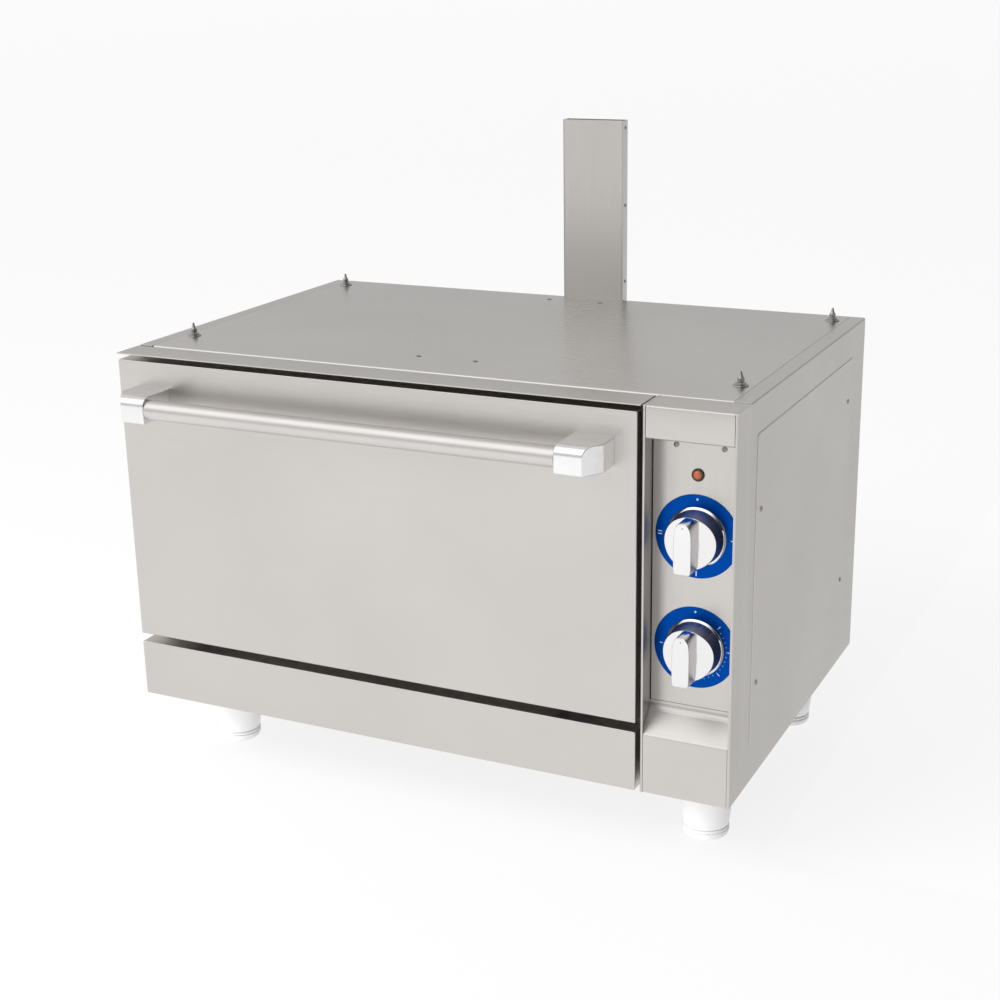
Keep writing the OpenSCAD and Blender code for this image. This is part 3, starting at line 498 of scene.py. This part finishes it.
rim = 0.0005
face_rings = (0.975, 0.9, 0.8, 0.7, 0.6, 0.5, 0.4, 0.2, 0.0)
for node, body in (("knob_selector", "selector_knob"), ("knob_thermostat", "thermostat_knob")):
    low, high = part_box(node)
    centre = middle(low, high)
    skirt_r = (high.x - low.x) / 2
    body_r = skirt_r * 0.868
    body_length = 0.0255
    whole = high.y - low.y
    base_r, fall, grip_half = body_r + 0.0019, 0.20, 0.0105
    round_body = turned([(0.0, 0.0), (skirt_r, 0.0), (skirt_r, 0.0009), (skirt_r - 0.0001, 0.0010),
                         (base_r + 0.0001, 0.0021), (base_r, 0.0023), (body_r, body_length - 0.0007)]
                        + [(body_r - rim + rim * math.cos(a), body_length - rim + rim * math.sin(a))
                           for a in np.linspace(0.2, math.pi / 2, 4)]
                        + [(body_r * part, body_length) for part in face_rings], 128)
    front = round_body[0][:, 2] > body_length - 0.0010
    round_body[0][:, 2] -= front * fall * np.maximum(np.abs(round_body[0][:, 0]) - grip_half, 0.0)
    half_length = body_r - 0.0002
    outline, normal = grip_outline(grip_half, half_length)
    grip = ring_stack(outline, normal, [(0.0, body_length - 0.002), (0.0, body_length),
                                        (0.0005, whole - 0.0014)]
                      + quarter((0.0017, whole - 0.0012), 0.0012, 180, 90, 4) + [(0.0018, whole)])
    place = (centre[0], high.y, centre[2])
    body_piece = put_piece(node + "_body", [lay(round_body, place, FRONT)], knob_chrome, body,
                           [node])
    # The round walls get a darker copy of the chrome: painted shade.
    refinish(body_piece, knob_wall_painted_shade, lambda normals, centres: np.abs(normals[:, 1]) < 0.3)
    grip_piece = put_piece(node + "_grip", [lay(grip, place, FRONT)], knob_chrome, body)
    # The grip's flat sides get a darker copy of the chrome: painted shade.
    refinish(grip_piece, knob_flank_painted_shade, lambda normals, centres: np.abs(normals[:, 0]) > 0.8)
    dot = turned([(0.0, 0.0), (0.0009, 0.0), (0.0008, 0.00015), (0.0, 0.0002)], 20)
    dot_place = (centre[0], low.y + 0.00002, centre[2] + half_length - 0.0055)
    put_piece(node + "_dot", [lay(dot, dot_place, FRONT)],
              dot_grey, body)


# ---- Pilot lamp ----
# A small round lamp with a black bezel, snapped into the panel. Its lens is a
# low dome of clear amber plastic.

def plastic(name, colour, rough, coat=0.0, mottle=0.06, size=300.0, clear=0.0):
    """A moulded plastic: a fine noise dimples the skin and moves its roughness, a slower one its colour."""
    made = metal(name, colour, rough, (size, size, size), 0.05, mottle, 0.00002, 0.0, coat)
    made.node_tree.nodes["Principled BSDF"].inputs["Transmission Weight"].default_value = clear
    return made


black_plastic = plastic("black_plastic", (0.020, 0.018, 0.018), 0.35)
low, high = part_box("lamp_body")
lamp_place = ((low.x + high.x) / 2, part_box("control_panel")[0].y, (low.z + high.z) / 2)
bezel_r = 0.0072
bezel = turned([(0.0, 0.0), (bezel_r, 0.0), (bezel_r, 0.0012), (bezel_r - 0.0008, 0.0020),
                (bezel_r - 0.0020, 0.0021), (bezel_r - 0.0025, 0.0012), (0.0, 0.0012)], 48)
put_piece("lamp_bezel", [lay(bezel, lamp_place, FRONT)], black_plastic, "oven_body",
          ["lamp_body"])
lens_r = 0.0052
angle = np.linspace(math.pi / 2, 0.0, 9)
dome = np.column_stack([lens_r * np.cos(angle), 0.0014 + 0.0026 * np.sin(angle)])[::-1].tolist()
amber = plastic("amber_lens", (0.46, 0.12, 0.03), 0.16, 0.5, 0.30, 90.0, 0.1)
lens = turned([(0.0, 0.0008), (lens_r, 0.0008)] + dome, 40)
put_piece("lamp_dome", [lay(lens, lamp_place, FRONT)], amber, "oven_body", ["lamp_lens"])


# ---- Door ----
# The outer skin is a pressed tray like the plinth's. The inner skin carries a
# raised field that fits inside the seal. The two meet back to back.

low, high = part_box("door_outer_panel")
skin = 0.0012
notch_width = 0.042
hinge_middle = middle(*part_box("hinge_pins"))[0]
hinge_reach = (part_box("hinge_bracket_right")[1].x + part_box("hinge_bracket_right")[0].x) / 2 - hinge_middle
door_middle = (low.x + high.x) / 2
notches = [hinge_middle + way * hinge_reach - door_middle for way in (-1, 1)]
shape = tray(high.x - low.x, high.z - low.z, high.y - low.y, skin, press, press + 0.0002, notches,
             notch_width)
door_face = (door_middle, low.y, (low.z + high.z) / 2)
put_piece("door_outer_skin", [lay(shape, door_face, FRONT)], steel_x, "door",
          ["door_outer_panel"])


def from_cad(node, finish, body, bevel=0.0, crease=30.0):
    """A copy of a made node: its loose triangles are merged, its flat faces joined, and its edges broken."""
    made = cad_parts[node].copy()
    made.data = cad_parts[node].data.copy()
    made.name = made.data.name = node + "_made"
    made.parent = None
    clean = bmesh.new()
    clean.from_mesh(made.data)
    bmesh.ops.remove_doubles(clean, verts=clean.verts, dist=1e-6)
    bmesh.ops.dissolve_limit(clean, angle_limit=math.radians(0.5), verts=clean.verts, edges=clean.edges)
    clean.to_mesh(made.data)
    clean.free()
    return finish_piece(made, finish, body, [node], crease, bevel)


from_cad("door_inner_panel", steel_x, "door", 0.0004)


# ---- Handle ----
# A satin tube sits in the sockets of two polished cast brackets. Each bracket
# has a bevelled outer corner and a front that rounds over at its top.

bracket_polish = metal("bracket_polish", (0.88, 0.88, 0.88), 0.23, (120.0, 120.0, 120.0), 0.04, 0.02,
                       0.000006)
bar_steel = metal("bar_steel", (0.70, 0.68, 0.66), 0.38, ALONG_X)


def bracket(width, reach, height, bevel, round_r, chamfer=0.0012):
    """The section (depth, level) is carried along a: a block whose front top edge is an arc of round_r. A
    flat bevel cuts its outer front corner, so a section point at depth d ends where
    a = width - bevel + (reach - d) / 1.6, or at a = width if that is less."""
    half, cut = height / 2, reach - 1.6 * bevel
    arc = np.radians(np.linspace(0.0, 90.0, 11))
    deep = np.concatenate([[0.0, cut, reach - chamfer, reach], reach - round_r + round_r * np.cos(arc),
                           [cut, 0.0]])
    level = np.concatenate([[-half, -half, -half, chamfer - half], half - round_r + round_r * np.sin(arc),
                            [half, half]])
    stop = np.minimum(width, width - bevel + (reach - deep) / 1.6)
    points = np.concatenate([np.column_stack([np.zeros(len(deep)), level, deep]),
                             np.column_stack([stop, level, deep])])
    count = len(deep)
    here = np.arange(count)
    walls = np.stack([here, np.roll(here, -1), np.roll(here, -1) + count, here + count], axis=1)
    beyond = (here[1:-1] + count).tolist()
    return points, walls.tolist() + [here.tolist(), beyond, [count, count + 1, 2 * count - 2, 2 * count - 1]]


corner_cut, top_round = 0.015, 0.012
bar_low, bar_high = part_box("handle_bar")
bar_r = (bar_high.z - bar_low.z) / 2
bar_axis = middle(bar_low, bar_high)
for side, node in ((1, "handle_bracket_right"), (-1, "handle_bracket_left")):
    low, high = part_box(node)
    points, faces = bracket(high.x - low.x, high.y - low.y, high.z - low.z, corner_cut, top_round)
    points[:, 0] *= side
    origin = (low.x if side > 0 else high.x, high.y, bar_axis[2])
    put_piece(node + "_block", [lay((points, faces), origin, FRONT)], bracket_polish, "door",
              [node], crease=25.0, bevel=0.0008)

tube_outline, tube_normal = circle(bar_r, 64)
tube = ring_stack(tube_outline, tube_normal, [(0.0, bar_low.x), (0.0, bar_high.x)])
put_piece("handle_tube", [lay(tube, (0.0, bar_axis[1], bar_axis[2]), YZ_ALONG_X)], bar_steel, "door",
          ["handle_bar"])
# A thin black collar rings the tube where it enters each bracket, so each joint shows a dark ring.
collar_black = plastic("collar_black", (0.085, 0.078, 0.072), 0.6)
inner_faces = (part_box("handle_bracket_left")[1].x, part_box("handle_bracket_right")[0].x)
collars = []
for face, way in zip(inner_faces, (1, -1)):
    outline, normal = circle(bar_r, 64)
    collar = ring_stack(outline, normal, [(0.0, 0.0), (0.0, 0.0005), (0.0008, 0.0009), (0.0012, 0.0009),
                                          (0.0012, 0.0), (0.0, 0.0)], caps=False)
    points, faces = collar
    collars.append(lay((points * (1, 1, way), faces), (face, bar_axis[1], bar_axis[2]), YZ_ALONG_X))
put_piece("handle_collars", collars, collar_black, "door")


# ---- Feet ----
# White nylon: a fixed sleeve under the tray, and a pad on a threaded stem that
# screws out of it for levelling.

foot_nylon = plastic("foot_nylon", (0.97, 0.965, 0.97), 0.5, 0.0, 0.02, 250.0)
sleeve_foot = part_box("foot_sleeves")[0].z
sleeve_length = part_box("base_tray")[0].z - sleeve_foot
sleeves = []
for node in ("foot_front_left", "foot_front_right", "foot_back_left", "foot_back_right"):
    low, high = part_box(node)
    centre = middle(low, high)
    pad_r = (high.x - low.x) / 2
    pad = turned([(0.0, 0.0), (pad_r - 0.006, 0.0), (pad_r - 0.003, 0.0007), (pad_r - 0.0012, 0.0022),
                  (pad_r, 0.0060), (pad_r, 0.0082), (pad_r - 0.0008, 0.0088), (pad_r - 0.0030, 0.0090),
                  (pad_r - 0.0030, 0.0098), (pad_r - 0.0006, 0.0101), (pad_r, 0.0108), (pad_r, 0.0122),
                  (pad_r - 0.0008, 0.0130), (0.0090, 0.0130), (0.0090, high.z - 0.001), (0.0080, high.z),
                  (0.0, high.z)], 64)
    put_piece(node + "_pad", [lay(pad, (centre[0], centre[1], low.z), TOP)], foot_nylon, node,
              [node])
    sleeve_r = pad_r + 0.0035
    sleeve = turned([(0.0, 0.0), (sleeve_r - 0.0056, 0.0), (sleeve_r - 0.0044, 0.0006),
                     (sleeve_r - 0.0036, 0.0020),
                     (sleeve_r - 0.0018, sleeve_length * 0.22), (sleeve_r - 0.0004, sleeve_length * 0.42),
                     (sleeve_r, sleeve_length * 0.60), (sleeve_r, sleeve_length - 0.0010),
                     (sleeve_r - 0.0010, sleeve_length), (0.0, sleeve_length)], 64)
    sleeves.append(lay(sleeve, (centre[0], centre[1], sleeve_foot), TOP))
put_piece("foot_sleeves_nylon", sleeves, foot_nylon, "oven_body", ["foot_sleeves"])


# ---- Flue ----
# A flat duct of folded sheet stands behind the top plate and opens upwards.
# Screws along its edges hold the front sheet to the folded channel.

low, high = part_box("flue_duct")
wall = 0.0012
channel = bent_line([(low.x, low.y), (low.x, high.y), (high.x, high.y), (high.x, low.y)], 0.0008, -wall)
put_piece("flue_channel", [prism(channel, low.z, high.z)], steel_z, "oven_body",
          ["flue_duct"], bevel=0.0002)
low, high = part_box("flue_cover")
cover = plate(high.x - low.x - 0.0003, high.z - low.z, high.y - low.y, 0.0006, 0.0003)
put_piece("flue_front", [lay(cover, ((low.x + high.x) / 2, high.y, (low.z + high.z) / 2), FRONT)],
          steel_z, "oven_body", ["flue_cover"])


# ---- Pins and screws ----
# Four pointed pins on washers locate a cooking top. Pan-head screws with a
# cross recess hold the covers, the top, the panel and the flue.

zinc = metal("zinc_steel", (0.42, 0.41, 0.40), 0.30, (300.0, 300.0, 300.0), 0.05, 0.15, 0.00001)
low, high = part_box("locating_pins")
top_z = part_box("top_plate")[1].z
pin_h = high.z - top_z
washer_r = 0.009
pins = []
for x in (low.x + washer_r, high.x - washer_r):
    for y in (low.y + washer_r, high.y - washer_r):
        pin = turned([(0.0, 0.0), (washer_r, 0.0), (washer_r, 0.0008), (washer_r - 0.0004, 0.0013),
                      (washer_r - 0.0016, 0.0016), (0.0062, 0.0018), (0.0060, 0.0034), (0.0052, 0.0040),
                      (0.0040, 0.0044), (0.0040, 0.0090), (0.0026, 0.0104), (0.0010, pin_h - 0.0004),
                      (0.0, pin_h)], 40)
        pins.append(lay(pin, (x, y, top_z), TOP))
put_piece("locating_pins_turned", pins, zinc, "oven_body", ["locating_pins"])


def screw_head(head_r, head_h, slot_half, steps=32):
    """Pan head with a cross recess on a polar grid: the height falls off as head_h * (1 - 0.55 (r/R)^2),
    less a cross of half width slot_half that reaches to 0.62 R and has sloping walls."""
    r = head_r * np.array([1.0, 1.0, 0.93, 0.80, 0.66, 0.60, 0.50, 0.40, 0.30, 0.20, 0.10])
    angle = (np.arange(steps) + 0.5) * 2 * math.pi / steps
    a, b = np.abs(np.outer(r, np.cos(angle))), np.abs(np.outer(r, np.sin(angle)))
    near, far = np.minimum(a, b), np.maximum(a, b)
    sunk = np.clip((slot_half - near) / (0.35 * slot_half), 0, 1)
    sunk *= np.clip((0.66 * head_r - far) / (0.06 * head_r), 0, 1)
    high = head_h * (1.0 - 0.55 * (r / head_r)[:, None] ** 2) - 0.55 * head_h * sunk
    high[0] = 0.0
    x, y = np.outer(r, np.cos(angle)), np.outer(r, np.sin(angle))
    count = steps
    start, here = np.meshgrid(np.arange(len(r) - 1) * count, np.arange(count), indexing="ij")
    after = (here + 1) % count
    quads = np.stack([start + here, start + after, start + count + after, start + count + here], axis=-1)
    ends = [list(range(count))[::-1], list(range((len(r) - 1) * count, len(r) * count))]
    return np.stack([x, y, high], axis=2).reshape(-1, 3), quads.reshape(-1, 4).tolist() + ends


screw_r, screw_h = 0.0032, 0.00135
head = screw_head(screw_r, screw_h, 0.0006)
low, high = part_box("casing_screws")
panel_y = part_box("control_panel")[0].y
band_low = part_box("console_band")[0].z
pins_low, pins_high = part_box("locating_pins")
front_y, rear_y = pins_low.y + washer_r, pins_high.y - washer_r + 0.004
cover_low, cover_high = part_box("side_cover_right")
heads = [lay(head, (x, y, top_z), TOP) for x in (-0.038, 0.038) for y in (front_y, rear_y)]
for facing, way, node in ((RIGHT, 1, "side_cover_right"), (LEFT, -1, "side_cover_left")):
    face_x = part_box(node)[1].x if way > 0 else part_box(node)[0].x
    for y, drop in ((cover_low.y + 0.016, 0.089), (cover_high.y - 0.018, 0.054)):
        for z in (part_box("base_tray")[0].z + 0.120, cover_high.z - drop):
            heads.append(lay(head, (face_x, y, z), facing))
knob_middle = middle(*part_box("knob_selector"))[0]
heads += [lay(head, (knob_middle + x, panel_y, band_low - 0.011), FRONT) for x in (-0.025, 0.029)]
back_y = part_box("back_panel")[1].y
body_low, body_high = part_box("side_panel_right")[0].z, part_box("side_panel_right")[1].z
for x in (-0.387, 0.387):
    for z in (body_low + 0.030, (body_low + body_high) / 2, body_high - 0.030):
        heads.append(lay(head, (x, back_y, z), BACK))
put_piece("casing_screw_heads", heads, zinc, "oven_body", ["casing_screws"], crease=50.0)

low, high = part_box("flue_screws")
duct_low, duct_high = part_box("flue_duct")
flue_head = screw_head(0.0022, 0.0012, 0.0004)
heads = []
for z in (high.z - 0.0022, (low.z + high.z) / 2, low.z + 0.0022):
    heads.append(lay(flue_head, (duct_high.x, (low.y + high.y) / 2, z), RIGHT))
    heads.append(lay(flue_head, (duct_low.x, (low.y + high.y) / 2, z), LEFT))
put_piece("flue_screw_heads", heads, zinc, "oven_body", ["flue_screws"], crease=50.0)


# ---- Back panel and cable gland ----
# The back is one galvanised sheet. The supply gland is a moulded black nut and
# body clamped low on it, and no lead is fitted. The base tray is galvanised too.

galvanised = metal("galvanised_steel", (0.46, 0.47, 0.48), 0.42, (35.0, 35.0, 35.0), 0.10, 0.22, 0.00002)
from_cad("back_panel", galvanised, "oven_body", 0.0003)
gland_black = plastic("gland_black", (0.022, 0.022, 0.024), 0.48)
from_cad("cable_gland", gland_black, "oven_body", 0.0005)
from_cad("base_tray", galvanised, "oven_body", 0.0004)


# ---- Front frame, chamber and vent ----
# A plain sheet frames the mouth of a welded liner. The liner's steel is dulled
# and slightly browned by heat; a short pipe leads its steam to the flue.

from_cad("front_frame", steel_x, "oven_body", 0.0003)
liner_steel = metal("liner_steel", (0.40, 0.37, 0.335), 0.38, ALONG_Y, 0.08, 0.28)
from_cad("oven_chamber", liner_steel, "oven_body", 0.0004)
sole_steel = metal("sole_steel", (0.145, 0.135, 0.125), 0.52, ALONG_X, 0.10, 0.35)
from_cad("sole_plate", sole_steel, "oven_body", 0.0004)
from_cad("vent_pipe", galvanised, "oven_body")
element_black = metal("element_sheath", (0.085, 0.075, 0.068), 0.50, (180.0, 180.0, 180.0), 0.10, 0.30,
                      0.00003)
for node in ("top_element", "bottom_element"):
    from_cad(node, element_black, "oven_body", crease=50.0)
seal_rubber = plastic("seal_rubber", (0.034, 0.031, 0.030), 0.62, 0.0, 0.20, 420.0)
from_cad("door_gasket", seal_rubber, "oven_body", 0.0010)


# ---- Shelf and racks ----
# Bright chromed wire, spot welded: a ladder at each side and a shelf that
# slides on one pair of its runners.

wire_chrome = metal("chromed_wire", (0.74, 0.735, 0.73), 0.16, (260.0, 260.0, 260.0), 0.05, 0.08, 0.00001)
for node in ("shelf_rack_left", "shelf_rack_right"):
    from_cad(node, wire_chrome, "oven_body", crease=50.0)
from_cad("oven_shelf", wire_chrome, "shelf", crease=50.0)


# ---- Hinges ----
# Fixed leaves on the frame carry the eyes; the door's ears turn round them on
# plain steel pins.

for node in ("hinge_bracket_left", "hinge_bracket_right"):
    from_cad(node, galvanised, "oven_body", 0.0004)
from_cad("hinge_lugs", galvanised, "door", 0.0004)
from_cad("hinge_pins", zinc, "door", 0.0004)
from_cad("handle_screws", zinc, "door", 0.0003)


# ---- Behind the panels ----
# Wool, switches, shafts, the thermostat's copper bulb and the terminal block
# keep their made shape and take the finish of what they are.

wool = plastic("mineral_wool", (0.42, 0.33, 0.17), 0.95, 0.0, 0.35, 320.0)
bright_copper = metal("copper", (0.72, 0.36, 0.22), 0.28, (220.0, 220.0, 220.0), 0.08, 0.20, 0.00001)
ceramic = plastic("terminal_ceramic", (0.76, 0.72, 0.62), 0.40, 0.1, 0.06, 260.0)
steel_shaft = metal("steel_shaft", (0.50, 0.49, 0.47), 0.30, ALONG_Y, 0.06, 0.12)
for node, finish in (("chamber_wool", wool), ("door_wool", wool), ("partition", galvanised),
                     ("selector_switch", black_plastic), ("thermostat", galvanised),
                     ("thermostat_bulb", bright_copper), ("terminal_block", ceramic),
                     ("selector_shaft", steel_shaft), ("thermostat_shaft", steel_shaft)):
    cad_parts[node].data.materials.clear()
    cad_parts[node].data.materials.append(finish)


# ---- Studio ----
# A wide white floor, two soft lamps and a soft sky that lights the part and is
# mirrored by it. The camera sees a plain backdrop; a grey mat is only mirrored.

def glow(name, colour, strength, base=0.0):
    """A matt surface that also gives off light of its own."""
    made = bpy.data.materials.new(name)
    made.use_nodes = True
    shader = made.node_tree.nodes["Principled BSDF"]
    shader.inputs["Base Color"].default_value = (base, base, base, 1.0)
    shader.inputs["Roughness"].default_value = 0.9
    shader.inputs["Emission Color"].default_value = colour
    shader.inputs["Emission Strength"].default_value = strength
    return made


def board(name, corners, finish):
    """A flat four-cornered board that belongs to the studio."""
    made = bpy.data.objects.new(name, bpy.data.meshes.new(name))
    made.data.from_pydata(corners, [], [(0, 1, 2, 3)])
    made.data.materials.append(finish)
    bpy.context.scene.collection.objects.link(made)
    return made


floor_half = 60.0
board("floor", [(-floor_half, -floor_half, 0), (floor_half, -floor_half, 0),
                (floor_half, floor_half, 0), (-floor_half, floor_half, 0)],
      glow("white_paper", (1.0, 1.0, 1.0, 1.0), 0.83, 0.10))
mat_left, mat_right, mat_near, mat_far = 0.42, 12.0, -0.15, 14.0
mat_lift = 0.001
grey_mat = board("grey_mat", [(mat_left, mat_near, mat_lift), (mat_right, mat_near, mat_lift),
                              (mat_right, mat_far, mat_lift), (mat_left, mat_far, mat_lift)],
                 glow("grey_card", (1.0, 1.0, 1.0, 1.0), 0.66))
for sight in ("visible_camera", "visible_diffuse", "visible_shadow", "visible_transmission"):
    setattr(grey_mat, sight, False)

world = bpy.data.worlds.new("soft_sky")
world.use_nodes = True
bpy.context.scene.world = world
nodes, links = world.node_tree.nodes, world.node_tree.links
direction = nodes.new("ShaderNodeTexCoord")
way = nodes.new("ShaderNodeSeparateXYZ")
links.new(direction.outputs["Generated"], way.inputs[0])


def sky_band(axis, start, stop, first, last):
    """Brightness that goes from first to last as one part of the direction goes from start to stop."""
    made = nodes.new("ShaderNodeMapRange")
    made.interpolation_type = "SMOOTHSTEP"
    for socket, value in (("From Min", start), ("From Max", stop), ("To Min", first), ("To Max", last)):
        made.inputs[socket].default_value = value
    links.new(way.outputs[axis], made.inputs["Value"])
    return made.outputs["Result"]


def together(kind, one, two):
    """Two brightnesses taken together."""
    made = nodes.new("ShaderNodeMath")
    made.operation = kind
    links.new(one, made.inputs[0])
    links.new(two, made.inputs[1])
    return made.outputs["Value"]


overhead = sky_band("Z", 0.22, 0.60, 0.0, 0.78)
ahead = sky_band("Y", 0.1, -0.25, 0.0, 1.0)
horizon = sky_band("Z", 0.0, 0.50, 0.50, 0.68)
left_lift = sky_band("X", -0.6, -0.95, 0.0, 0.45)
right_dark = together("MULTIPLY", sky_band("X", 0.05, 0.45, 0.0, 0.95),
                      sky_band("Y", 0.1, -0.4, 0.45, 1.0))
sky = together("ADD", together("ADD", together("MULTIPLY", overhead, ahead), horizon), left_lift)
seen = nodes.new("ShaderNodeLightPath")
shown = nodes.new("ShaderNodeMix")
links.new(seen.outputs["Is Camera Ray"], shown.inputs["Factor"])
links.new(together("SUBTRACT", sky, together("MULTIPLY", sky, right_dark)), shown.inputs["A"])
backdrop = 0.955
shown.inputs["B"].default_value = backdrop
links.new(shown.outputs["Result"], nodes["Background"].inputs["Strength"])
nodes["Background"].inputs["Color"].default_value = (1.0, 1.0, 1.0, 1.0)


def area_lamp(name, spot, target, energy, width, height):
    """A soft lamp at the spot that faces the target. Metal doesn't mirror it."""
    made = bpy.data.objects.new(name, bpy.data.lights.new(name, "AREA"))
    made.data.shape = "RECTANGLE"
    made.data.size, made.data.size_y = width, height
    made.data.energy = energy
    made.visible_glossy = False
    aim = Vector(target) - Vector(spot)
    made.matrix_world = Matrix.Translation(spot) @ aim.to_track_quat("-Z", "Y").to_matrix().to_4x4()
    bpy.context.scene.collection.objects.link(made)


area_lamp("soft_box", (-1.6, -2.6, 2.9), (0.0, 0.0, 0.3), 170.0, 2.4, 1.8)
area_lamp("low_fill", (-0.2, -2.2, 0.55), (0.0, 0.0, 0.05), 12.0, 1.0, 1.0)
